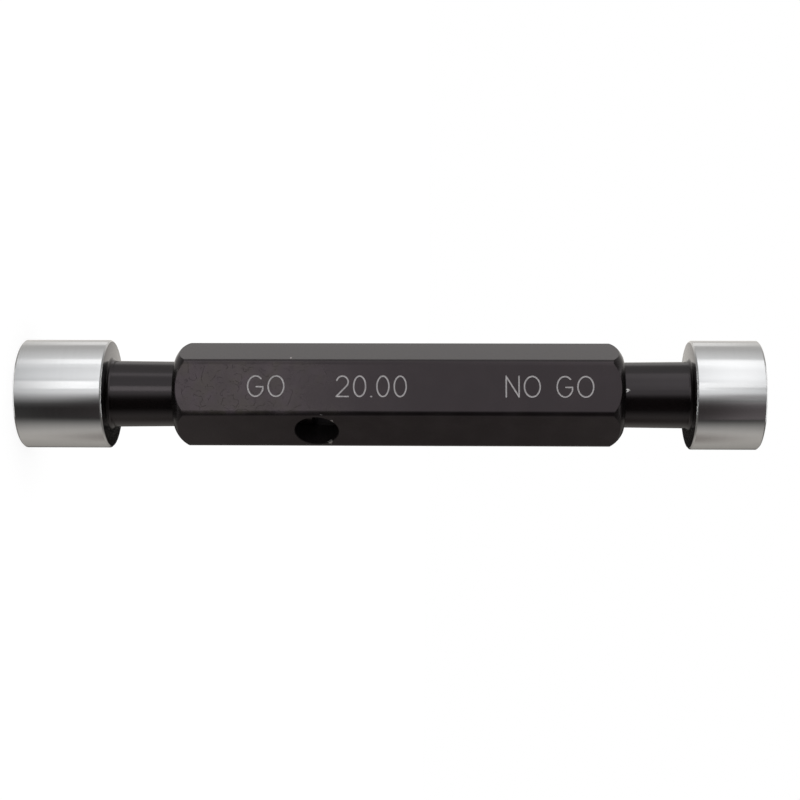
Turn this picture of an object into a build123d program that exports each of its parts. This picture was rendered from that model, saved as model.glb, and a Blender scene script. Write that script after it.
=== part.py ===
from build123d import *
import os
from math import radians, tan

# A double-ended limit plug gauge, in millimetres.
# The gauge stands on its GO plug: Z runs up the gauge's axis from the GO plug's end face,
# and X runs out through the middle of the flat that holds the drift hole.

# Plugs. The sizes over nominal are those for a hole of grade H7:
# the GO plug has its wear allowance, and the NO-GO plug is the hole's upper limit.
nominal_diameter = 20.0
go_oversize = 0.003
no_go_oversize = 0.021
go_length = 16.0
no_go_length = 12.5
plug_rim = 0.3  # chamfer on the rims of both plugs

# Neck and taper shank, alike on both members. The neck is the bare part of the taper.
taper = 1 / 50  # change of diameter along the shank
mouth_diameter = 12.0  # of the taper, in the plane of the handle's end face
neck_length = 12.25
neck_fillet = 0.8  # where the neck runs into the plug
shank_rim = 0.5  # chamfer on the shank's small end

# Guarded centre holes in the ends of each member, left from turning and grinding.
centre_pilot_diameter = 2.0
centre_seat_diameter = 4.25
centre_guard_diameter = 6.3
centre_depth = 5.4
seat_angle = 60.0
guard_angle = 120.0
drill_point_angle = 118.0

# Handle: a hexagonal bar with turned ends.
handle_length = 82.0
across_flats = 17.0
corner_radius = 1.35
end_face_diameter = 14.4
end_round_radius = 5.0
end_round_length = 2.9  # of the turned end, measured to the sharp corners of the bar
mouth_rim = 0.3  # chamfer on the mouth of each taper socket

# Drift hole, across the handle near its GO end. The shanks stop just short of its middle,
# so a drift driven through it bears on the end of the GO shank.
drift_diameter = 8.0
drift_rim = 0.1
drift_from_end = 26.2
shank_short_of_drift = 0.5

# Sockets: the taper runs on past the shank's end, then steps down to the bored core,
# through which a rod knocks out the NO-GO member.
socket_runout = 4.3
core_diameter = 10.5

# Heights along the axis, and the lengths that follow.
handle_base = go_length + neck_length
handle_top = handle_base + handle_length
total_length = handle_top + neck_length + no_go_length
drift_height = handle_base + drift_from_end
shank_depth = drift_from_end - shank_short_of_drift
socket_depth = shank_depth + socket_runout


def taper_radius(depth):
    """The radius of the taper at a depth inside the handle's end face, less than 0 for outside."""
    return (mouth_diameter - depth * taper) / 2


def cone_depth(large_diameter, small_diameter, angle):
    """How deep a cone of this full angle is between two diameters."""
    return (large_diameter - small_diameter) / 2 / tan(radians(angle / 2))


def gauging_member(profile_plane, plug_diameter, plug_length):
    """Plug, neck and taper shank, turned from one bar about the plane's own y axis."""
    plug_radius = plug_diameter / 2
    root_radius = taper_radius(-neck_length)
    tip_radius = taper_radius(shank_depth)
    length = plug_length + neck_length + shank_depth
    guard_depth = cone_depth(centre_guard_diameter, centre_seat_diameter, guard_angle)
    seat_depth = guard_depth + cone_depth(centre_seat_diameter, centre_pilot_diameter, seat_angle)
    point_depth = centre_depth + cone_depth(centre_pilot_diameter, 0, drill_point_angle)

    with BuildPart() as member:
        with BuildSketch(profile_plane):
            with BuildLine():
                Polyline(
                    (0, 0),
                    (plug_radius, 0),
                    (plug_radius, plug_length),
                    (root_radius, plug_length),
                    (tip_radius, length),
                    (0, length),
                    close=True,
                )
            make_face()
            # Half the section of a centre hole, from each end face inwards.
            for face, inwards in ((0, 1), (length, -1)):
                with BuildLine():
                    Polyline(
                        (0, face),
                        (centre_guard_diameter / 2, face),
                        (centre_seat_diameter / 2, face + inwards * guard_depth),
                        (centre_pilot_diameter / 2, face + inwards * seat_depth),
                        (centre_pilot_diameter / 2, face + inwards * centre_depth),
                        (0, face + inwards * point_depth),
                        close=True,
                    )
                make_face(mode=Mode.SUBTRACT)
        revolve(axis=Axis.Z)

        circles = member.edges().filter_by(GeomType.CIRCLE)
        root = circles.filter_by(lambda edge: abs(edge.radius - root_radius) < 1e-6)
        tip = circles.filter_by(lambda edge: abs(edge.radius - tip_radius) < 1e-6)
        fillet(root, neck_fillet)
        chamfer(tip, shank_rim)
        chamfer(circles.group_by(SortBy.RADIUS)[-1], plug_rim)
    return member


# GO member: the long plug, standing on its end face.
go_member = gauging_member(Plane.XZ, nominal_diameter + go_oversize, go_length)
go_member.part.label = "go_member"

# NO-GO member: the short plug, turned end for end at the top of the gauge.
no_go_profile = Plane(origin=(0, 0, total_length), x_dir=(1, 0, 0), z_dir=(0, 1, 0))
no_go_member = gauging_member(no_go_profile, nominal_diameter + no_go_oversize, no_go_length)
no_go_member.part.label = "no_go_member"

# Handle: the bar, then its turned ends, its bore and its drift hole.
with BuildPart() as handle:
    with BuildSketch(Plane.XY.offset(handle_base)) as bar_section:
        RegularPolygon(across_flats / 2, side_count=6, major_radius=False, rotation=30)
        sharp_corner_radius = max(corner.center().length for corner in bar_section.vertices())
        fillet(bar_section.vertices(), corner_radius)
    extrude(amount=handle_length)

    # Each end is turned to a flat face with a rounded shoulder, which leaves a curved edge on every flat.
    end_planes = (
        Plane(origin=(0, 0, handle_base), x_dir=(1, 0, 0), z_dir=(0, -1, 0)),
        Plane(origin=(0, 0, handle_top), x_dir=(1, 0, 0), z_dir=(0, 1, 0)),
    )
    for end_plane in end_planes:
        with BuildSketch(end_plane):
            with BuildLine():
                face_edge = (end_face_diameter / 2, 0)
                side_edge = (sharp_corner_radius, end_round_length)
                RadiusArc(side_edge, face_edge, end_round_radius)
                Polyline(face_edge, (sharp_corner_radius, 0), side_edge)
            make_face()
        revolve(axis=Axis.Z, mode=Mode.SUBTRACT)

    # Taper sockets and core, cut from both ends to the middle.
    for end_plane in end_planes:
        socket_end_radius = taper_radius(socket_depth)
        shoulder_depth = socket_depth + cone_depth(2 * socket_end_radius, core_diameter, drill_point_angle)
        with BuildSketch(end_plane):
            with BuildLine():
                Polyline(
                    (0, 0),
                    (taper_radius(0), 0),
                    (socket_end_radius, socket_depth),
                    (core_diameter / 2, shoulder_depth),
                    (core_diameter / 2, handle_length / 2),
                    (0, handle_length / 2),
                    close=True,
                )
            make_face()
        revolve(axis=Axis.Z, mode=Mode.SUBTRACT)
    mouths = handle.edges().filter_by(GeomType.CIRCLE).filter_by(
        lambda edge: abs(edge.radius - taper_radius(0)) < 1e-6
    )
    chamfer(mouths, mouth_rim)

    # The drift hole goes through both walls, with its edge broken on each flat.
    drift_mouths = [
        Plane(origin=(side * across_flats / 2, 0, drift_height), z_dir=(side, 0, 0)) for side in (1, -1)
    ]
    with Locations(*drift_mouths):
        CounterSinkHole(
            drift_diameter / 2,
            drift_diameter / 2 + drift_rim,
            depth=across_flats / 2,
            counter_sink_angle=90,
        )
handle.part.label = "handle"

os.makedirs("parts", exist_ok=True)
export_step(go_member.part, "parts/go_member.step")
export_step(handle.part, "parts/handle.step")
export_step(no_go_member.part, "parts/no_go_member.step")
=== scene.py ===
# %% [markdown]
# # A limit plug gauge
#
# A limit plug gauge tests a bore by feel. The long GO plug has to slide in, and the short NO-GO plug must
# not. The real gauge is three pieces of steel: a black hexagonal handle, and at each end a member whose plug,
# neck and taper shank were turned from one bar. The shanks are driven into the handle and hold by friction.
#
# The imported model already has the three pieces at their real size, but its meshes are coarse and plain.
# In this lesson each piece is turned and milled again in fine mesh, in the same place, and gets its finish.
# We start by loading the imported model, because every size below is taken from it.

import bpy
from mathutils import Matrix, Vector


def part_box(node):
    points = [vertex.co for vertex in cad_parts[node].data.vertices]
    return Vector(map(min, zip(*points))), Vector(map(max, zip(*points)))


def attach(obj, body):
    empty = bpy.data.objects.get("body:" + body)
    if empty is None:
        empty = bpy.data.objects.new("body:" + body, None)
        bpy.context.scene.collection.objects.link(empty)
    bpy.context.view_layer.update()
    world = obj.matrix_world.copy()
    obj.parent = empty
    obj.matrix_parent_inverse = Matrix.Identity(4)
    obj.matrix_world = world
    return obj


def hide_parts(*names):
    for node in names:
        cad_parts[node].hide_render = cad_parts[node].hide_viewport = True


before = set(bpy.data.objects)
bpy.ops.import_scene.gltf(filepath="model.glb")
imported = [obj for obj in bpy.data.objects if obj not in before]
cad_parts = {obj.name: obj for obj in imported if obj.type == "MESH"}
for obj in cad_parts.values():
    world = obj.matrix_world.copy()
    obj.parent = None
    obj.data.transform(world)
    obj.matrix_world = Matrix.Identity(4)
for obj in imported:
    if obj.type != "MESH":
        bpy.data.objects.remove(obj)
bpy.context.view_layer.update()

# %% [markdown]
# ## Sizes
#
# Blender works in metres, while a gauge is drawn in millimetres, so sizes are written as so many `mm`.
# The frame gives the overall places: where the handle starts and ends, how thick the plugs are,
# and how far the shanks reach. What is left are the small sizes of a turner's drawing.

# %% Sizes of the gauge
from math import cos, hypot, pi, radians, sin, tan

import bmesh
import bpy
from mathutils import Matrix, Vector

mm = 0.001

_, go_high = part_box("go_member")
_, no_go_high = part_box("no_go_member")
handle_low, handle_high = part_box("handle")

handle_base = handle_low.z
handle_top = handle_high.z
across_flats = handle_high.x - handle_low.x
total_length = no_go_high.z
shank_depth = go_high.z - handle_base  # how far a shank reaches into the handle

neck_length = 12.25 * mm
go_length = handle_base - neck_length
no_go_length = total_length - handle_top - neck_length
print(f"GO plug {go_length / mm:.2f} mm long, NO-GO plug {no_go_length / mm:.2f} mm")
print(f"handle {across_flats / mm:.2f} mm across flats, shanks {shank_depth / mm:.2f} mm deep in it")

# %% [markdown]
# ## The camera
#
# The gauge stands on its GO plug, with its axis along Z, but the photograph shows it lying across the
# picture. So the camera looks at it from the side and is rolled by a quarter turn: Z points to the right of
# the picture. Everything about the view is said in three directions at right angles:
# `towards` from the gauge to the camera, `upwards` to the top of the picture, and the gauge's own axis.

# %% Camera
camera_azimuth = radians(38.0)
camera_distance = 278.3 * mm
view_height = 69.44 * mm  # where the camera looks at the axis, from the GO plug's end face
camera_drop = 1.03 * mm  # below the axis, as the picture shows it
camera_swing = 0.027  # radians that the camera has swung towards the NO-GO end
camera_roll = 0.0026  # radians
focal_length = 67.7  # millimetres, on a sensor 36 mm wide

axis = Vector((0, 0, 1))
towards = Vector((sin(camera_azimuth), -cos(camera_azimuth), 0))
upwards = axis.cross(towards).normalized() * -1


def camera_axes():
    """The camera's own right, up and back directions."""
    back = towards * cos(camera_swing) + axis * sin(camera_swing)
    right = axis * cos(camera_swing) - towards * sin(camera_swing)
    up = back.cross(right)
    rolled_right = right * cos(camera_roll) + up * sin(camera_roll)
    rolled_up = up * cos(camera_roll) - right * sin(camera_roll)
    return rolled_right, rolled_up, back


camera = bpy.data.objects.new("camera", bpy.data.cameras.new("camera"))
bpy.context.scene.collection.objects.link(camera)
right, up, back = camera_axes()
camera_place = axis * view_height - upwards * camera_drop + back * camera_distance
camera.matrix_world = Matrix.Translation(camera_place) @ Matrix((right, up, back)).transposed().to_4x4()
camera.data.lens = focal_length
camera.data.sensor_width = 36
camera.data.clip_start = 10 * mm
bpy.context.scene.camera = camera
bpy.context.scene.view_settings.view_transform = "Standard"
print("upwards in the picture is", tuple(round(c, 3) for c in upwards))

# %% [markdown]
# ## A studio for bright and black steel
#
# Polished steel has no look of its own: what we see on it is the room. A product photographer therefore puts
# the gauge in a light tent, a cloth tube round its axis that is white where the steel should gleam and dark
# where it should have a shadow line. Ours is a cylinder whose brightness follows the angle round the axis.
# Only reflections see it, so it hides neither the white backdrop nor the floor. A white card hangs at each of
# its ends, a little behind the gauge, and the chamfered rims of the plugs mirror that.
#
# An angle of 0 points to the camera, 90 to the top of the picture, and -90 to the bottom.

# %% Helper for material nodes
def node(tree, kind, inputs=None, **settings):
    """Adds one shader node. The inputs are values, or sockets of other nodes to join to it."""
    made = tree.nodes.new(kind)
    for name, value in settings.items():
        setattr(made, name, value)
    for key, value in (inputs or {}).items():
        if isinstance(value, bpy.types.NodeSocket):
            tree.links.new(value, made.inputs[key])
        else:
            made.inputs[key].default_value = value
    return made


def new_material(name):
    """A material with nothing in it but its output node."""
    material = bpy.data.materials.new(name)
    material.use_nodes = True
    material.node_tree.nodes.clear()
    tree = material.node_tree
    return material, tree, node(tree, "ShaderNodeOutputMaterial")


def set_ramp(ramp, stops):
    """Fills a colour ramp with (place, colour) pairs."""
    elements = ramp.color_ramp.elements
    while len(elements) < len(stops):
        elements.new(1.0)
    for element, (place, colour) in zip(elements, stops):
        element.position = place
        element.color = (*colour, 1)


def put_in_scene(name, bm, *materials):
    """Makes a bmesh an object at the origin, with its place in its mesh."""
    mesh = bpy.data.meshes.new(name)
    bm.to_mesh(mesh)
    bm.free()
    for material in materials:
        mesh.materials.append(material)
    made = bpy.data.objects.new(name, mesh)
    bpy.context.scene.collection.objects.link(made)
    return made


print("ready to build materials and to put meshes in the scene")


# %% What only reflections see
def hide_from_all_but_reflections(made):
    """Marks an object as part of the studio that the steel mirrors and nothing else meets."""
    made.visible_camera = False
    made.visible_diffuse = False
    made.visible_transmission = False
    made.visible_shadow = False


print("ready to hang things that only reflections see")

# %% Light tent
tent_radius = 1.0
tent_height = 2.4

# Angle round the axis, in degrees, and how bright the cloth is there. A colour ramp holds 32 stops at most.
tent_wall = [
    (-180, 0.02), (-168, 0.02), (-155, 0.28), (-125, 0.37), (-112, 0.48), (-95, 0.49), (-83, 0.40),
    (-72, 0.29), (-64, 0.17), (-57, 0.06), (-52, 0.016), (-31, 0.016), (-22, 0.08), (-14, 0.29), (-6, 0.54),
    (3, 0.88), (10, 0.90), (17, 0.72), (26, 0.78), (36, 0.92), (46, 0.87), (54, 0.82), (64, 0.95), (75, 0.90),
    (86, 0.73), (98, 0.60), (113, 0.46), (124, 0.47), (138, 0.55), (150, 0.58), (165, 0.70), (180, 1.05),
]
tent_ends = [
    (-180, 0.4), (-140, 0.16), (-60, 0.08), (-30, 0.03), (30, 0.04), (80, 0.05), (110, 0.2), (140, 0.35),
    (180, 0.4),
]
ends_start = 0.5  # metres from the middle of the tent along the axis
ends_full = 0.9
cloth_warmth = 0.016  # the mean share of red that the cloth adds to its grey
warmth_swing = 0.028  # how far that share rises and falls round the tent
coolest_angle = 40


def cloth_colour(angle, grey):
    """A grey that is cool in front, a little above the camera, and warm behind."""
    warm = cloth_warmth - warmth_swing * cos(radians(angle - coolest_angle))
    return grey * (1 + warm), grey, grey * (1 - 1.5 * warm)


def light_tent():
    """A tube of cloth round the gauge, graded round the axis and darker near its two ends."""
    material, tree, output = new_material("tent_cloth")
    place = node(tree, "ShaderNodeTexCoord").outputs["Object"]
    # A radial gradient rises anticlockwise, seen from above, from a seam at -X. The mapping turns that seam
    # until it is opposite the camera, and the stops go backwards because our angles grow clockwise.
    camera_angle = camera_azimuth - pi / 2
    turned = node(tree, "ShaderNodeMapping", {"Vector": place, "Rotation": (0, 0, -camera_angle)})
    gradient = node(tree, "ShaderNodeTexGradient", {"Vector": turned.outputs[0]}, gradient_type="RADIAL")
    shades = []
    for stops in (tent_wall, tent_ends):
        shade = node(tree, "ShaderNodeValToRGB", {"Fac": gradient.outputs["Fac"]})
        set_ramp(shade, [(0.5 - angle / 360, cloth_colour(angle, grey)) for angle, grey in reversed(stops)])
        shades.append(shade.outputs["Color"])
    centred = node(tree, "ShaderNodeVectorMath", {0: place, 1: axis * -view_height}, operation="ADD")
    height = node(tree, "ShaderNodeSeparateXYZ", {0: centred.outputs[0]}).outputs["Z"]
    distance = node(tree, "ShaderNodeMath", {0: height}, operation="ABSOLUTE")
    towards_end = node(tree, "ShaderNodeMapRange", {
        "Value": distance.outputs[0], "From Min": ends_start, "From Max": ends_full,
    }, interpolation_type="SMOOTHSTEP")
    cloth = node(tree, "ShaderNodeMix", {"Factor": towards_end.outputs[0]}, data_type="RGBA")
    tree.links.new(shades[0], cloth.inputs["A"])
    tree.links.new(shades[1], cloth.inputs["B"])
    glow = node(tree, "ShaderNodeEmission", {"Color": cloth.outputs["Result"], "Strength": 1.0})
    tree.links.new(glow.outputs[0], output.inputs["Surface"])

    bm = bmesh.new()
    bmesh.ops.create_cone(
        bm, cap_ends=True, segments=96, radius1=tent_radius, radius2=tent_radius, depth=tent_height,
    )
    hide_from_all_but_reflections(put_in_scene("light_tent", bm, material))


def end_cards(radius, behind, above, brightness):
    """A round white card at each end of the tent, for the chamfered rims of the plugs to mirror."""
    material, tree, output = new_material("white_card")
    glow = node(tree, "ShaderNodeEmission", {"Color": (1, 1, 1, 1), "Strength": brightness})
    tree.links.new(glow.outputs[0], output.inputs["Surface"])

    bm = bmesh.new()
    card_height = 0.99 * tent_height / 2  # just inside the tent
    for height in (-card_height, card_height):
        middle = axis * height - towards * behind + upwards * above
        bmesh.ops.create_circle(
            bm, cap_ends=True, segments=48, radius=radius, matrix=Matrix.Translation(middle),
        )
    hide_from_all_but_reflections(put_in_scene("end_cards", bm, material))


light_tent()
end_cards(radius=0.5, behind=0.3, above=0.05, brightness=1.3)
print("tent:", len(tent_wall), "shades round its wall and", len(tent_ends), "at its ends")

# %% [markdown]
# The dark line that makes a cylinder look round is the reflection of something dark beside the camera.
# A photographer hangs a black card there, called a flag. Ours are oval and fade out at their edges,
# so the line is soft and grows narrower towards both ends of the gauge. A lighter flag below the gauge keeps
# the lower flat of the handle deep, and another at the far end starts the NO-GO plug's dark line higher up.

# %% Flags
def flag(name, angle, height, half_width, half_length, colour, softness, distance=0.6):
    """An oval card of one dull colour at an angle round the axis, which fades out towards its rim."""
    material, tree, output = new_material(name)
    place = node(tree, "ShaderNodeTexCoord").outputs["Object"]
    inwards = node(tree, "ShaderNodeTexGradient", {"Vector": place}, gradient_type="SPHERICAL")
    cover = node(tree, "ShaderNodeMapRange", {
        "Value": inwards.outputs["Fac"], "From Max": softness,
    }, interpolation_type="SMOOTHSTEP")
    clear = node(tree, "ShaderNodeBsdfTransparent")
    card = node(tree, "ShaderNodeEmission", {"Color": (*colour, 1), "Strength": 1.0})
    both = node(tree, "ShaderNodeMixShader", {
        0: cover.outputs["Result"], 1: clear.outputs[0], 2: card.outputs[0],
    })
    tree.links.new(both.outputs[0], output.inputs["Surface"])

    bm = bmesh.new()
    bmesh.ops.create_circle(bm, cap_ends=True, segments=48, radius=1.0)
    made = put_in_scene(name, bm, material)
    outwards = towards * cos(radians(angle)) + upwards * sin(radians(angle))
    made.matrix_world = (
        Matrix.Translation(outwards * distance + axis * height)
        @ Matrix((axis.cross(outwards), axis, outwards)).transposed().to_4x4()
        @ Matrix.Diagonal((half_width, half_length, 1, 1))
    )
    hide_from_all_but_reflections(made)


flag(
    "flag_beside_camera", angle=-28, height=0.10, half_width=0.38, half_length=0.28,
    colour=(0.024, 0.02, 0.02), softness=0.6,
)
flag(
    "flag_below", angle=-104, height=0.07, half_width=0.30, half_length=0.26,
    colour=(0.18, 0.16, 0.15), softness=0.8,
)
flag(
    "flag_far", angle=-3, height=0.29, half_width=0.10, half_length=0.19,
    colour=(0.26, 0.24, 0.245), softness=0.9,
)
print("hung three flags")

# %% [markdown]
# Softboxes hang inside the tent and add to its light. One in front and one above draw the bright lines along
# the glossy necks, and a weak one on the left lights the GO plug's outer end. Two at the far end lift the
# NO-GO plug, which looks the lighter of the two, and the one behind lights the handle's upper flat.
# Their radiance is written, not their power, because a reflection shows that.

# %% Softboxes
def softbox(name, angle, height, width, length, radiance, distance=0.95, tint=(1, 1, 1)):
    """A rectangular lamp at an angle round the axis, with its long side along the axis."""
    lamp = bpy.data.lights.new(name, "AREA")
    lamp.shape = "RECTANGLE"
    lamp.size = width
    lamp.size_y = length
    lamp.energy = radiance * pi * width * length
    lamp.color = tint
    made = bpy.data.objects.new(name, lamp)
    bpy.context.scene.collection.objects.link(made)
    outwards = towards * cos(radians(angle)) + upwards * sin(radians(angle))
    made.matrix_world = Matrix.Translation(outwards * distance + axis * height) @ (
        (-outwards).to_track_quat("-Z", "Y").to_matrix().to_4x4()
    )
    made.visible_camera = False
    print(f"{name}: {lamp.energy:.2f} W at {angle} degrees")


softbox("softbox_front", angle=18, height=-0.11, width=0.26, length=0.18, radiance=1.6)
softbox("softbox_left", angle=21, height=-0.40, width=0.2, length=0.40, radiance=0.15)
softbox("softbox_top", angle=71, height=-0.10, width=0.19, length=0.24, radiance=0.62)
softbox("softbox_far", angle=48, height=0.40, width=1.0, length=0.5, radiance=0.55, distance=0.8)
softbox(
    "softbox_far_below", angle=-34, height=0.40, width=0.56, length=0.4, radiance=0.14, distance=0.8,
    tint=(1.0, 0.86, 0.91),
)
softbox("softbox_behind", angle=134, height=0.04, width=0.3, length=0.62, radiance=0.34)

# %% [markdown]
# The backdrop is the world, white at a strength of 1. The floor is white too, mostly by its own glow,
# with a little matt white in it so that the gauge still throws a soft shadow.

# %% Backdrop and floor
def white_world():
    """The backdrop: white in every direction."""
    world = bpy.data.worlds.new("backdrop")
    world.use_nodes = True
    background = world.node_tree.nodes["Background"]
    background.inputs["Color"].default_value = (1, 1, 1, 1)
    background.inputs["Strength"].default_value = 1.0
    bpy.context.scene.world = world


def white_floor(brightness, matt_grey, half_size):
    """A white surface under the GO plug."""
    material, tree, output = new_material("white_floor")
    glow = node(tree, "ShaderNodeEmission", {"Color": (1, 1, 1, 1), "Strength": brightness})
    matt = node(tree, "ShaderNodeBsdfDiffuse", {"Color": (matt_grey, matt_grey, matt_grey, 1)})
    both = node(tree, "ShaderNodeAddShader", {0: glow.outputs[0], 1: matt.outputs[0]})
    tree.links.new(both.outputs[0], output.inputs["Surface"])

    bm = bmesh.new()
    bmesh.ops.create_grid(bm, x_segments=1, y_segments=1, size=half_size)
    floor = put_in_scene("floor", bm, material)
    floor.visible_glossy = False
    floor.visible_shadow = False


white_world()
white_floor(brightness=0.78, matt_grey=0.25, half_size=6.0)
print("white backdrop and floor")

# %% [markdown]
# ## Finishes
#
# The plugs were ground and lapped while they turned, so fine marks run round them, and round in circles on
# their end faces. One pattern gives both. Noise is stretched until it hardly changes round the gauge
# but changes fast along the surface, and the sum of height and radius is a measure that grows
# along a cylinder and across an end face alike.

# %% Marks left by turning and grinding
def turning_marks(tree, spacing):
    """Noise in rings round the Z axis, with this spacing in metres."""
    place = node(tree, "ShaderNodeTexCoord").outputs["Object"]
    parts = node(tree, "ShaderNodeSeparateXYZ", {0: place}).outputs
    flat = node(tree, "ShaderNodeCombineXYZ", {"X": parts["X"], "Y": parts["Y"]})
    radius = node(tree, "ShaderNodeVectorMath", {0: flat.outputs[0]}, operation="LENGTH").outputs["Value"]
    along = node(tree, "ShaderNodeMath", {0: radius, 1: parts["Z"]}, operation="ADD")
    rings = node(tree, "ShaderNodeCombineXYZ", {"X": parts["X"], "Y": parts["Y"], "Z": along.outputs[0]})
    stretched = node(tree, "ShaderNodeMapping", {"Vector": rings.outputs[0], "Scale": (40, 40, 1 / spacing)})
    noise = node(tree, "ShaderNodeTexNoise", {"Vector": stretched.outputs[0], "Scale": 1.0, "Detail": 4.0})
    return noise.outputs["Fac"]


def lapped_steel():
    """Bright hardened steel, ground and lapped round the axis."""
    material, tree, output = new_material("lapped_steel")
    marks = turning_marks(tree, spacing=0.22 * mm)
    colour = node(tree, "ShaderNodeValToRGB", {"Fac": marks})
    set_ramp(colour, [(0.3, (0.77, 0.77, 0.77)), (0.7, (0.80, 0.80, 0.80))])
    roughness = node(tree, "ShaderNodeMapRange", {"Value": marks, "To Min": 0.20, "To Max": 0.24})
    relief = node(tree, "ShaderNodeBump", {"Height": marks, "Strength": 0.05, "Distance": 0.004 * mm})
    # The marks run round the axis, so they blur a reflection along it: a quarter turn from the shader's way.
    steel = node(tree, "ShaderNodeBsdfPrincipled", {
        "Base Color": colour.outputs["Color"], "Metallic": 1.0, "Roughness": roughness.outputs["Result"],
        "Anisotropic": 1.0, "Anisotropic Rotation": 0.25, "Normal": relief.outputs["Normal"],
    })
    tree.links.new(steel.outputs[0], output.inputs["Surface"])
    return material


lapped = lapped_steel()
print("made", lapped.name)

# %% [markdown]
# The necks and the handle are black oxide, a dip that turns the steel's own surface black. It reflects
# like a dark stone, not like a metal, so it isn't metallic here, and the oxide gives its gleam a hint of red.
# The gauge has been used, and in a few spots the black is worn through to bright steel.
# A worn spot is a listed place, and noise makes its outline ragged.

# %% Worn spots
# Each spot has its place on the gauge and its radius, in millimetres.
worn_on_handle = [
    ((8.45, -2.95, 57.29), 0.30),  # on the rim of the drift hole, and so is the next
    ((8.45, 3.39, 56.77), 0.42),
    ((8.38, -4.63, 55.51), 0.12),  # on a long corner, and so is the next
    ((-1.19, -9.13, 49.76), 0.26),
]
worn_on_neck = [((2.96, -5.22, 110.72), 0.30)]

raggedness = 1.4 * mm  # how far the noise can move a spot's outline
worn_edge = 0.1 * mm  # over which the black ends
bare_steel_colour = (0.46, 0.45, 0.44, 1)


def worn_spots(tree, place, worn_places):
    """1 where the black is worn through, 0 elsewhere."""
    noise = node(tree, "ShaderNodeTexNoise", {"Vector": place, "Scale": 3000.0, "Detail": 2.0}).outputs["Fac"]
    ragged = node(tree, "ShaderNodeMath", {0: noise, 1: raggedness}, operation="MULTIPLY")
    worn = None
    for spot, radius in worn_places:
        away = node(tree, "ShaderNodeVectorMath", {0: place, 1: Vector(spot) * mm}, operation="DISTANCE")
        ragged_away = node(tree, "ShaderNodeMath", {
            0: away.outputs["Value"], 1: ragged.outputs[0],
        }, operation="ADD")
        rim = radius * mm + raggedness / 2
        inside = node(tree, "ShaderNodeMapRange", {
            "Value": ragged_away.outputs[0], "From Min": rim - worn_edge, "From Max": rim,
            "To Min": 1.0, "To Max": 0.0,
        }).outputs["Result"]
        if worn is None:
            worn = inside
        else:
            worn = node(tree, "ShaderNodeMath", {0: worn, 1: inside}, operation="MAXIMUM").outputs[0]
    return worn


def worn_through(tree, worn, oxide):
    """The colour of the black, with bare steel where it is worn through."""
    colour = node(tree, "ShaderNodeMix", {"Factor": worn}, data_type="RGBA")
    if isinstance(oxide, bpy.types.NodeSocket):
        tree.links.new(oxide, colour.inputs["A"])
    else:
        colour.inputs["A"].default_value = oxide
    colour.inputs["B"].default_value = bare_steel_colour
    return colour.outputs["Result"]


print(len(worn_on_handle), "worn spots on the handle and", len(worn_on_neck), "on a neck")

# %% [markdown]
# A turned neck is smooth under its black, so it stays glossy, with the lathe's faint marks round it.

# %% Black oxide on the turned necks
neck_oxide = (0.0018, 0.0013, 0.0013, 1)


def black_neck():
    """Black oxide on a smoothly turned surface."""
    material, tree, output = new_material("black_oxide_turned")
    marks = turning_marks(tree, spacing=0.35 * mm)
    roughness = node(tree, "ShaderNodeMapRange", {"Value": marks, "To Min": 0.14, "To Max": 0.22})
    relief = node(tree, "ShaderNodeBump", {"Height": marks, "Strength": 0.15, "Distance": 0.006 * mm})
    worn = worn_spots(tree, node(tree, "ShaderNodeTexCoord").outputs["Object"], worn_on_neck)
    black = node(tree, "ShaderNodeBsdfPrincipled", {
        "Base Color": worn_through(tree, worn, neck_oxide), "Metallic": worn,
        "Roughness": roughness.outputs["Result"], "IOR": 1.5,
        "Specular Tint": (1.0, 0.90, 0.94, 1), "Normal": relief.outputs["Normal"],
    })
    tree.links.new(black.outputs[0], output.inputs["Surface"])
    return material


neck_black = black_neck()
print("made", neck_black.name)

# %% [markdown]
# The handle was dipped as drawn bar, so it is satin rather than glossy. Water has dried on it in thin rings
# and left brown patches and small pits. On the lettered flat near the GO end the patches are denser and
# lighter, a painted sheen as well as stains.
# A ring is where a smooth noise crosses one value, as a contour line does on a map, and a second noise breaks
# it into short arcs. A pit is where a fine noise reaches one of its rare low points.

# %% Water stains and a painted sheen
lettered_flat_angle = radians(-60)  # of its outward normal, round Z from +X
lettered_flat = Vector((cos(lettered_flat_angle), sin(lettered_flat_angle), 0))
# The dense patches near the GO end are a painted sheen as well as stains, and they thin out between these
# heights.
stains_and_sheen_thin_out = handle_base + 14 * mm
stains_and_sheen_end = handle_base + 36 * mm
patches_to = 0.05 * mm  # below the plane of the lettered flat, where its rounded corners begin
no_patches_from = 0.3 * mm  # below that plane, on the corners


def contour_lines(tree, place, scale, width):
    """1 along the lines where a noise crosses its middle value, fading to 0 on both sides."""
    noise = node(tree, "ShaderNodeTexNoise", {"Vector": place, "Scale": scale, "Detail": 0.5}).outputs["Fac"]
    off_middle = node(tree, "ShaderNodeMath", {0: noise, 1: 0.5}, operation="SUBTRACT")
    away = node(tree, "ShaderNodeMath", {0: off_middle.outputs[0]}, operation="ABSOLUTE")
    return node(tree, "ShaderNodeMapRange", {
        "Value": away.outputs[0], "From Max": width, "To Min": 1.0, "To Max": 0.0,
    }).outputs["Result"]


def pits(tree, place):
    """1 at the bottom of small, scattered pits, 0 elsewhere."""
    noise = node(tree, "ShaderNodeTexNoise", {"Vector": place, "Scale": 1700.0, "Detail": 1.0}).outputs["Fac"]
    return node(tree, "ShaderNodeMapRange", {
        "Value": noise, "From Min": 0.22, "From Max": 0.32, "To Min": 1.0, "To Max": 0.0,
    }).outputs["Result"]


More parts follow.
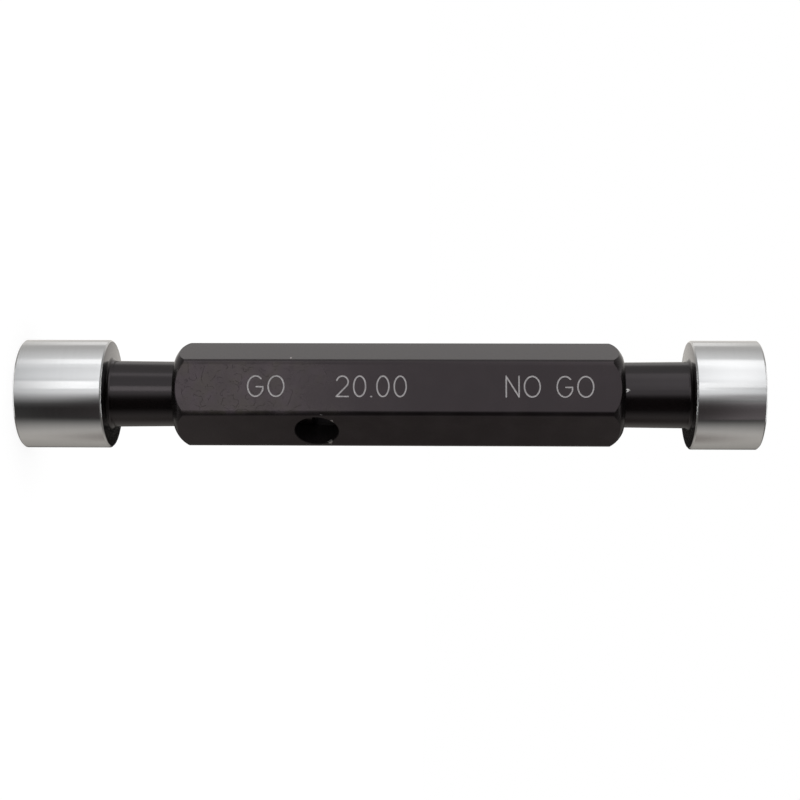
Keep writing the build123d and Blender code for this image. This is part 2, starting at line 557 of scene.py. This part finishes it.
def where_stains_and_sheen(tree, place):
    """How stained the handle is, in patches: sparse all over, and dense on the lettered flat near the GO end,
    where they are a painted sheen as well as stains.
    """
    height = node(tree, "ShaderNodeSeparateXYZ", {0: place}).outputs["Z"]
    near_go = node(tree, "ShaderNodeMapRange", {
        "Value": height, "From Min": stains_and_sheen_thin_out, "From Max": stains_and_sheen_end, "To Min": 1.0, "To Max": 0.0,
    }, interpolation_type="SMOOTHSTEP").outputs["Result"]
    outwards = node(tree, "ShaderNodeVectorMath", {0: place, 1: lettered_flat}, operation="DOT_PRODUCT")
    on_flat = node(tree, "ShaderNodeMapRange", {
        "Value": outwards.outputs["Value"], "From Min": across_flats / 2 - no_patches_from,
        "From Max": across_flats / 2 - patches_to,
    }).outputs["Result"]
    # Near the GO end, on the lettered flat, the patches are dense and lighter: a painted sheen as well as
    # stains.
    dense_stains_and_sheen_area = node(tree, "ShaderNodeMath", {0: near_go, 1: on_flat}, operation="MULTIPLY").outputs[0]
    noise = node(tree, "ShaderNodeTexNoise", {"Vector": place, "Scale": 240.0, "Detail": 3.0})
    patches = noise.outputs["Fac"]
    sparse = node(tree, "ShaderNodeMapRange", {
        "Value": patches, "From Min": 0.40, "From Max": 0.75, "To Max": 0.12,
    }).outputs["Result"]
    dense = node(tree, "ShaderNodeMapRange", {
        "Value": patches, "From Min": 0.30, "From Max": 0.64,
    }).outputs["Result"]
    both = node(tree, "ShaderNodeMix", {"Factor": dense_stains_and_sheen_area}, data_type="FLOAT")
    tree.links.new(sparse, both.inputs["A"])
    tree.links.new(dense, both.inputs["B"])
    return both.outputs["Result"]


# The dense patches near the GO end are a painted sheen as well as stains.
print(f"most stains are within {(stains_and_sheen_end - handle_base) / mm:.0f} mm of the handle's GO end")

# %% Black oxide on the handle
handle_oxide = (0.0025, 0.0021, 0.0021, 1)
# Colours of the stains. In the dense patches near the GO end they also paint a sheen.
reddish_stain_and_sheen = (0.0260, 0.0210, 0.0240)
brownish_stain_and_sheen = (0.0230, 0.0210, 0.0165)
smoothing = 0.06  # how much less rough clean oxide is than oxide under the stains and the painted sheen
grain_height = 0.01 * mm
ring_height = 0.026 * mm


def black_oxide(name, roughest, gloss):
    """Black oxide with a fine grain, the stains of water, a painted sheen on the lettered flat near the GO
    end, and a few worn spots.
    """
    material, tree, output = new_material(name)
    place = node(tree, "ShaderNodeTexCoord").outputs["Object"]
    stains_and_sheen = where_stains_and_sheen(tree, place)
    worn = worn_spots(tree, place, worn_on_handle)
    grain = node(tree, "ShaderNodeTexNoise", {"Vector": place, "Scale": 2600.0, "Detail": 3.0})

    hue = node(tree, "ShaderNodeTexNoise", {"Vector": place, "Scale": 330.0, "Detail": 2.0})
    stain_and_sheen_colour = node(tree, "ShaderNodeValToRGB", {"Fac": hue.outputs["Fac"]})
    set_ramp(stain_and_sheen_colour, [(0.40, reddish_stain_and_sheen), (0.60, brownish_stain_and_sheen)])
    # The oxide is lighter in the stains and in the painted sheen.
    oxide = node(tree, "ShaderNodeMix", {"Factor": stains_and_sheen}, data_type="RGBA")
    oxide.inputs["A"].default_value = handle_oxide
    tree.links.new(stain_and_sheen_colour.outputs["Color"], oxide.inputs["B"])
    roughness = node(tree, "ShaderNodeMapRange", {
        "Value": stains_and_sheen, "To Min": roughest - smoothing, "To Max": roughest,
    })

    grainy = node(tree, "ShaderNodeBump", {
        "Height": grain.outputs["Fac"], "Strength": 0.25, "Distance": grain_height,
    })
    rings = contour_lines(tree, place, scale=620.0, width=0.016)
    breaks = node(tree, "ShaderNodeTexNoise", {"Vector": place, "Scale": 900.0, "Detail": 2.0})
    arcs = node(tree, "ShaderNodeMapRange", {
        "Value": breaks.outputs["Fac"], "From Min": 0.44, "From Max": 0.50, "To Max": rings,
    })
    raised = node(tree, "ShaderNodeMath", {
        0: arcs.outputs["Result"], 1: pits(tree, place),
    }, operation="SUBTRACT")
    dried = node(tree, "ShaderNodeMath", {0: raised.outputs[0], 1: stains_and_sheen}, operation="MULTIPLY")
    ringed = node(tree, "ShaderNodeBump", {
        "Height": dried.outputs[0], "Strength": 1.0, "Distance": ring_height,
        "Normal": grainy.outputs["Normal"],
    })
    black = node(tree, "ShaderNodeBsdfPrincipled", {
        "Base Color": worn_through(tree, worn, oxide.outputs["Result"]), "Metallic": worn,
        "Roughness": roughness.outputs["Result"], "IOR": 1.5, "Specular IOR Level": gloss,
        "Specular Tint": (1.0, 0.85, 0.91, 1), "Normal": ringed.outputs["Normal"],
    })
    tree.links.new(black.outputs[0], output.inputs["Surface"])
    return material


handle_black = black_oxide("black_oxide_satin", roughest=0.32, gloss=0.5)
drilled_black = black_oxide("black_oxide_drilled", roughest=0.60, gloss=0.25)
print("made", handle_black.name, "and", drilled_black.name, "for the holes")

# %% [markdown]
# In the engraving the black is cut away, down to dull, freshly cut steel.

# %% Bare steel where the black is cut away
def bare_steel():
    """Freshly cut steel in the engraved strokes."""
    material, tree, output = new_material("engraved_steel")
    place = node(tree, "ShaderNodeTexCoord").outputs["Object"]
    grain = node(tree, "ShaderNodeTexNoise", {"Vector": place, "Scale": 5000.0, "Detail": 2.0})
    colour = node(tree, "ShaderNodeValToRGB", {"Fac": grain.outputs["Fac"]})
    set_ramp(colour, [(0.3, (0.38, 0.365, 0.37)), (0.7, (0.55, 0.53, 0.535))])
    steel = node(tree, "ShaderNodeBsdfPrincipled", {
        "Base Color": colour.outputs["Color"], "Metallic": 0.6, "Roughness": 0.55,
    })
    tree.links.new(steel.outputs[0], output.inputs["Surface"])
    return material


engraved = bare_steel()
print("made", engraved.name)

# %% [markdown]
# ## The two members
#
# A member is turned, so it is modelled the way a lathe makes it: half of its section is drawn as a chain of
# points, its inner corner is rounded with a vertex bevel, and the chain is spun once round the axis.
# Both ends keep the guarded centre holes that held the bar between centres.
# The section is drawn from the plug's end face inwards, once for both members.

# %% Helpers for turned sections
turning_steps = 192
same_place = 0.0001 * mm  # points closer than this become one


def chain(bm, points):
    """Joins (radius, height) points by edges, as half of a turned section."""
    verts = [bm.verts.new((radius, 0, height)) for radius, height in points]
    for first, second in zip(verts, verts[1:]):
        bm.edges.new((first, second))
    return verts


def round_corners(bm, corners, size, segments):
    """Rounds corners of a drawn section."""
    bmesh.ops.bevel(
        bm, geom=corners, offset=size, offset_type="OFFSET", segments=segments, profile=0.5,
        affect="VERTICES", material=-1,
    )


def turn(bm):
    """Spins the section once round the Z axis and closes it at the axis."""
    bmesh.ops.spin(
        bm, geom=bm.verts[:] + bm.edges[:], cent=(0, 0, 0), axis=axis, angle=2 * pi,
        steps=turning_steps, use_merge=True,
    )
    bmesh.ops.remove_doubles(bm, verts=bm.verts[:], dist=same_place)
    bmesh.ops.recalc_face_normals(bm, faces=bm.faces[:])


print("a section is turned in", turning_steps, "steps")

# %% Section of a member
taper = 1 / 50
mouth_radius = 6.0 * mm  # of the taper, in the plane of the handle's end face
neck_fillet = 0.8 * mm
plug_rim = 0.3 * mm
shank_rim = 0.5 * mm
edge_break = 0.05 * mm  # left on every sharp rim

centre_pilot_radius = 1.0 * mm
centre_seat_radius = 2.125 * mm
centre_guard_radius = 3.15 * mm
centre_depth = 5.4 * mm

# Full angles of the cones, in degrees.
guard_angle = 120
seat_angle = 60
drill_angle = 118


def cone_depth(large_radius, small_radius, angle):
    """How deep a cone of this full angle is between two radii."""
    return (large_radius - small_radius) / tan(radians(angle / 2))


def centre_hole():
    """(radius, depth) points of a guarded centre hole, from its point out to the end face."""
    guard_depth = cone_depth(centre_guard_radius, centre_seat_radius, guard_angle)
    seat_depth = guard_depth + cone_depth(centre_seat_radius, centre_pilot_radius, seat_angle)
    point_depth = centre_depth + cone_depth(centre_pilot_radius, 0, drill_angle)
    return [
        (0, point_depth),
        (centre_pilot_radius, centre_depth),
        (centre_pilot_radius, seat_depth),
        (centre_seat_radius, guard_depth),
        (centre_guard_radius, 0),
    ]


def turn_member(plug_radius, plug_length):
    """A bmesh of one member, with its plug's end face at height 0 and its shank upwards."""
    length = plug_length + neck_length + shank_depth
    root_radius = mouth_radius + neck_length * taper / 2
    tip_radius = mouth_radius - shank_depth * taper / 2

    bm = bmesh.new()
    section = chain(bm, [
        *centre_hole(),
        (plug_radius - plug_rim, 0),
        (plug_radius, plug_rim),
        (plug_radius, plug_length - plug_rim),
        (plug_radius - plug_rim, plug_length),
        (root_radius, plug_length),
        (tip_radius, length - shank_rim),
        (tip_radius - shank_rim, length),
        *((radius, length - depth) for radius, depth in reversed(centre_hole())),
    ])
    guard_edge, root = section[4], section[9]
    rims = [guard_edge, *section[5:9]]
    round_corners(bm, [root], size=neck_fillet, segments=10)
    round_corners(bm, rims, size=edge_break, segments=2)
    turn(bm)
    return bm


print(f"centre holes {centre_depth / mm:.1f} mm deep, neck fillets of {neck_fillet / mm:.1f} mm")


# %% Give each face its finish
def finish_member(bm, plug_radius, plug_length):
    """The plug is bright steel outside, and the rest is black. Returns how many faces are bright."""
    bright = 0
    for face in bm.faces:
        centre = face.calc_center_median()
        faces_neck = face.normal.z > 0.9
        on_plug = centre.z < plug_length + edge_break and not faces_neck
        is_outer = hypot(centre.x, centre.y) > plug_radius - 2 * plug_rim or centre.z < plug_length / 2
        face.material_index = 0 if on_plug and is_outer else 1
        face.smooth = True
        bright += face.material_index == 0
    return bright


def make_member(name, plug_radius, plug_length):
    """A bmesh of one member with its finishes, still standing on its plug's end face."""
    bm = turn_member(plug_radius, plug_length)
    bright = finish_member(bm, plug_radius, plug_length)
    print(f"{name}: {len(bm.faces)} faces, {bright} of them bright")
    return bm


def keep_edges_sharp(piece, angle=28):
    """Smooth shading, except across edges sharper than this angle."""
    piece.data.set_sharp_from_angle(angle=radians(angle))


print("ready to finish and shade the members")

# %% GO member
go_member = put_in_scene(
    "go_member_turned", make_member("GO member", go_high.x, go_length), lapped, neck_black
)
keep_edges_sharp(go_member)
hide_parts("go_member")
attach(go_member, "root")

# %% NO-GO member
no_go_bm = make_member("NO-GO member", no_go_high.x, no_go_length)
bmesh.ops.rotate(no_go_bm, verts=no_go_bm.verts, cent=(0, 0, 0), matrix=Matrix.Rotation(pi, 3, "X"))
bmesh.ops.translate(no_go_bm, verts=no_go_bm.verts, vec=axis * total_length)
no_go_member = put_in_scene("no_go_member_turned", no_go_bm, lapped, neck_black)
keep_edges_sharp(no_go_member)
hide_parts("no_go_member")
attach(no_go_member, "root")

# %% [markdown]
# ## The handle
#
# The handle starts as hexagonal bar with rounded corners. On the lathe both ends are faced and rounded, which
# leaves a curved edge on every flat. In mesh that is the overlap of two simple solids, the bar and a
# turned blank, so a Boolean intersection gives exactly the curves that the lathe gives.
# The bore and the drift hole are then cut out of it in the same way.

# %% Hexagonal bar
corner_radius = 1.35 * mm
sharp_corner = across_flats / 2 / cos(radians(30))  # how far from the axis a corner is before it is rounded


def hexagonal_bar():
    """The bar, with its long corners rounded."""
    bm = bmesh.new()
    bmesh.ops.create_circle(bm, cap_ends=True, segments=6, radius=sharp_corner)
    lifted = bmesh.ops.extrude_face_region(bm, geom=bm.faces[:])
    top = [element for element in lifted["geom"] if isinstance(element, bmesh.types.BMVert)]
    bmesh.ops.translate(bm, verts=top, vec=axis * (handle_top - handle_base))
    bmesh.ops.translate(bm, verts=bm.verts, vec=axis * handle_base)
    corners = [edge for edge in bm.edges if abs(edge.verts[0].co.z - edge.verts[1].co.z) > 1 * mm]
    bmesh.ops.bevel(
        bm, geom=corners, offset=corner_radius * tan(radians(30)), offset_type="OFFSET",
        segments=10, profile=0.5, affect="EDGES", material=-1,
    )
    bmesh.ops.recalc_face_normals(bm, faces=bm.faces[:])
    return bm


print(f"bar {across_flats / mm:.2f} mm across flats, corners rounded to {corner_radius / mm:.2f} mm")

# %% Turned blank
end_face_radius = 7.2 * mm
end_round_radius = 5.0 * mm
end_round_length = 2.9 * mm
end_round_steps = 16


def draw_arc(start, end, radius, steps):
    """(radius, height) points of an arc that bulges away from the axis, without its two ends."""
    chord = Vector((end[0] - start[0], 0, end[1] - start[1]))
    middle = Vector(((start[0] + end[0]) / 2, 0, (start[1] + end[1]) / 2))
    inwards = Vector((-chord.z, 0, chord.x)).normalized()
    if inwards.x > 0:
        inwards = -inwards
    centre = middle + inwards * (radius ** 2 - (chord.length / 2) ** 2) ** 0.5
    first = Vector((start[0], 0, start[1])) - centre
    last = Vector((end[0], 0, end[1])) - centre
    return [
        (centre + first.slerp(last, step / steps).normalized() * radius).xz
        for step in range(1, steps)
    ]


def turned_blank():
    """A round bar with the handle's rounded ends, thick enough to hold the whole hexagon."""
    low_side = (sharp_corner, handle_base + end_round_length)
    high_side = (sharp_corner, handle_top - end_round_length)
    low_face = (end_face_radius, handle_base)
    high_face = (end_face_radius, handle_top)
    bm = bmesh.new()
    chain(bm, [
        (0, handle_base),
        low_face,
        *draw_arc(low_face, low_side, end_round_radius, end_round_steps),
        low_side,
        high_side,
        *draw_arc(high_side, high_face, end_round_radius, end_round_steps),
        high_face,
        (0, handle_top),
    ])
    turn(bm)
    return bm


print(f"the handle's ends are rounded over their last {end_round_length / mm:.1f} mm")

# %% Bore and drift hole
mouth_rim = 0.3 * mm
socket_runout = 4.3 * mm
core_radius = 5.25 * mm
drift_radius = 4.0 * mm
drift_rim = 0.1 * mm
drift_height = handle_base + 26.2 * mm
overshoot = 1 * mm  # a cutter reaches this far past the surface it opens


def bore_cutter():
    """The two taper sockets and the core between them, as one turned solid."""
    socket_depth = shank_depth + socket_runout
    socket_end = mouth_radius - socket_depth * taper / 2
    shoulder = socket_depth + cone_depth(socket_end, core_radius, drill_angle)
    half = [
        (0, -overshoot),
        (mouth_radius + mouth_rim + overshoot, -overshoot),
        (mouth_radius + mouth_rim, 0),
        (mouth_radius - mouth_rim * taper / 2, mouth_rim),
        (socket_end, socket_depth),
        (core_radius, shoulder),
    ]
    bm = bmesh.new()
    chain(bm, [
        *((radius, handle_base + depth) for radius, depth in half),
        *((radius, handle_top - depth) for radius, depth in reversed(half)),
    ])
    turn(bm)
    return bm


def drift_cutter():
    """The drift hole, right across the handle, with its edge broken where it meets the two flats."""
    flat = across_flats / 2
    half = [
        (0, -flat - overshoot),
        (drift_radius + drift_rim + overshoot, -flat - overshoot),
        (drift_radius, -flat + drift_rim),
    ]
    bm = bmesh.new()
    chain(bm, [*half, *((radius, -height) for radius, height in reversed(half))])
    turn(bm)
    bmesh.ops.rotate(bm, verts=bm.verts, cent=(0, 0, 0), matrix=Matrix.Rotation(pi / 2, 3, "Y"))
    bmesh.ops.translate(bm, verts=bm.verts, vec=axis * drift_height)
    return bm


print(f"sockets {(shank_depth + socket_runout) / mm:.1f} mm deep, drift hole at {drift_height / mm:.1f} mm")


# %% Cut one solid with another
def cut(piece, operation, tool, self_crossing=False):
    """Applies a Boolean with a tool object, which is then thrown away."""
    boolean = piece.modifiers.new("cut", "BOOLEAN")
    boolean.operation = operation
    boolean.solver = "EXACT"
    boolean.use_self = self_crossing
    boolean.material_mode = "TRANSFER"
    boolean.object = tool
    depsgraph = bpy.context.evaluated_depsgraph_get()
    result = bpy.data.meshes.new_from_object(piece.evaluated_get(depsgraph), depsgraph=depsgraph)
    piece.modifiers.clear()
    piece.data = result
    bpy.data.objects.remove(tool)


handle = put_in_scene("handle_milled", hexagonal_bar(), handle_black)
cut(handle, "INTERSECT", put_in_scene("turned_blank", turned_blank(), handle_black))
cut(handle, "DIFFERENCE", put_in_scene("bore_cutter", bore_cutter(), drilled_black))
cut(handle, "DIFFERENCE", put_in_scene("drift_cutter", drift_cutter(), drilled_black))
print("handle:", len(handle.data.polygons), "faces after turning, boring and drilling")

# %% [markdown]
# ## The engraving
#
# A gauge says which end is which and what size it tests. The strokes were cut with a ball-ended tool,
# so each is a shallow groove with round ends, bright where the black is gone.
# A groove is what is left when a thin round tube is sunk nearly halfway into the flat, and a curve object
# with a round bevel is just such a tube. Each glyph is drawn from straight runs and arcs.

# %% Glyphs, on a grid where a capital is 1 high
def arc(across, up, half_width, half_height, start, end):
    """Points of an oval arc round a middle, from one angle to another, in degrees."""
    steps = max(2, round(abs(end - start) / 7.5))
    angles = [radians(start + (end - start) * step / steps) for step in range(steps + 1)]
    return [(across + half_width * cos(angle), up + half_height * sin(angle)) for angle in angles]


# Each glyph has its width and its strokes. Where a stroke turns a sharp corner, a new one starts.
glyphs = {
    "G": (0.74, [
        arc(0.38, 0.5, 0.38, 0.5, 47, 338), [(0.74, 0.30), (0.74, 0.47)], [(0.74, 0.47), (0.42, 0.47)],
    ]),
    "O": (0.76, [arc(0.38, 0.5, 0.38, 0.5, 0, 360)]),
    "N": (0.62, [[(0, 0), (0, 1)], [(0, 1), (0.62, 0)], [(0.62, 0), (0.62, 1)]]),
    "0": (0.58, [arc(0.29, 0.5, 0.29, 0.5, 0, 360)]),
    "2": (0.58, [[*arc(0.29, 0.71, 0.28, 0.29, 165, -38), (0, 0)], [(0, 0), (0.58, 0)]]),
    ".": (0.03, [[(0, 0), (0.03, 0)]]),
    " ": (0.30, []),
}
print("glyphs:", " ".join(glyphs))

# %% Strokes as tubes
cap_height = 3.7 * mm
letters_raised = 0.25 * mm  # from the middle of the flat, towards the top of the picture
glyph_gap = 0.26  # between glyphs, as a share of the cap height
stroke_radius = 0.16 * mm
stroke_lift = 0.06 * mm  # of the tube's middle above the flat


def word_width(word):
    """How wide a word is, on the glyph grid."""
    return sum(glyphs[letter][0] for letter in word) + glyph_gap * (len(word) - 1)


def with_round_ends(points):
    """(point, share of the tube's radius) pairs along a stroke, with a half ball added at each end."""
    balls = []
    for end, inner in ((points[0], points[1]), (points[-1], points[-2])):
        outwards = (end - inner).normalized() * stroke_radius
        steps = [radians(angle) for angle in (25, 50, 75)]
        balls.append([(end + outwards * sin(angle), cos(angle)) for angle in steps])
    return [*reversed(balls[0]), *((point, 1.0) for point in points), *balls[1]]


def engraving_tool(words):
    """Tubes along the strokes of (word, height of its middle) pairs, on the lettered flat."""
    curve = bpy.data.curves.new("strokes", "CURVE")
    curve.dimensions = "3D"
    curve.bevel_depth = stroke_radius
    curve.bevel_resolution = 2
    curve.use_fill_caps = True
    for word, middle in words:
        left = middle / cap_height - word_width(word) / 2
        for letter in word:
            width, strokes = glyphs[letter]
            for points in strokes:
                line = [
                    Vector(((left + across) * cap_height, (up - 0.5) * cap_height + letters_raised, 0))
                    for across, up in points
                ]
                closed = (line[0] - line[-1]).length < 0.01 * mm  # as in an O
                tube = [(point, 1.0) for point in line[:-1]] if closed else with_round_ends(line)
                spline = curve.splines.new("POLY")
                spline.use_cyclic_u = closed
                spline.points.add(len(tube) - 1)
                for control, (point, share) in zip(spline.points, tube):
                    control.co = (*point, 1)
                    control.radius = share
            left += width + glyph_gap
    drawn = bpy.data.objects.new("strokes", curve)
    bpy.context.scene.collection.objects.link(drawn)
    bpy.context.view_layer.update()
    mesh = bpy.data.meshes.new_from_object(drawn.evaluated_get(bpy.context.evaluated_depsgraph_get()))
    bpy.data.objects.remove(drawn)
    return mesh


def lay_on_flat(mesh):
    """Turns the tubes from the XY plane onto the lettered flat, to be read from the GO end."""
    letters_up = lettered_flat.cross(axis)
    turned = Matrix((axis, letters_up, lettered_flat)).transposed().to_4x4()
    mesh.transform(Matrix.Translation(lettered_flat * (across_flats / 2 + stroke_lift)) @ turned)
    mesh.materials.clear()
    mesh.materials.append(engraved)
    tool = bpy.data.objects.new("engraving_tool", mesh)
    bpy.context.scene.collection.objects.link(tool)
    return tool


words = [("GO", 45.5 * mm), ("20.00", 64.5 * mm), ("NO GO", 96.5 * mm)]
cut(handle, "DIFFERENCE", lay_on_flat(engraving_tool(words)), self_crossing=True)
print("handle:", len(handle.data.polygons), "faces with its engraving")

# %% [markdown]
# A Boolean leaves large flat faces next to narrow round ones. Smooth shading would bend the light across
# the flats, so the normals are weighted by area: large faces keep their own, and round ones blend into them.

# %% Shade the handle
def weigh_normals(piece):
    """Smooth shading in which large faces stay flat."""
    for face in piece.data.polygons:
        face.use_smooth = True
    keep_edges_sharp(piece)
    weighted = piece.modifiers.new("weighted_normals", "WEIGHTED_NORMAL")
    weighted.keep_sharp = True
    weighted.weight = 100


weigh_normals(handle)
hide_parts("handle")
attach(handle, "root")
print("handle shaded")
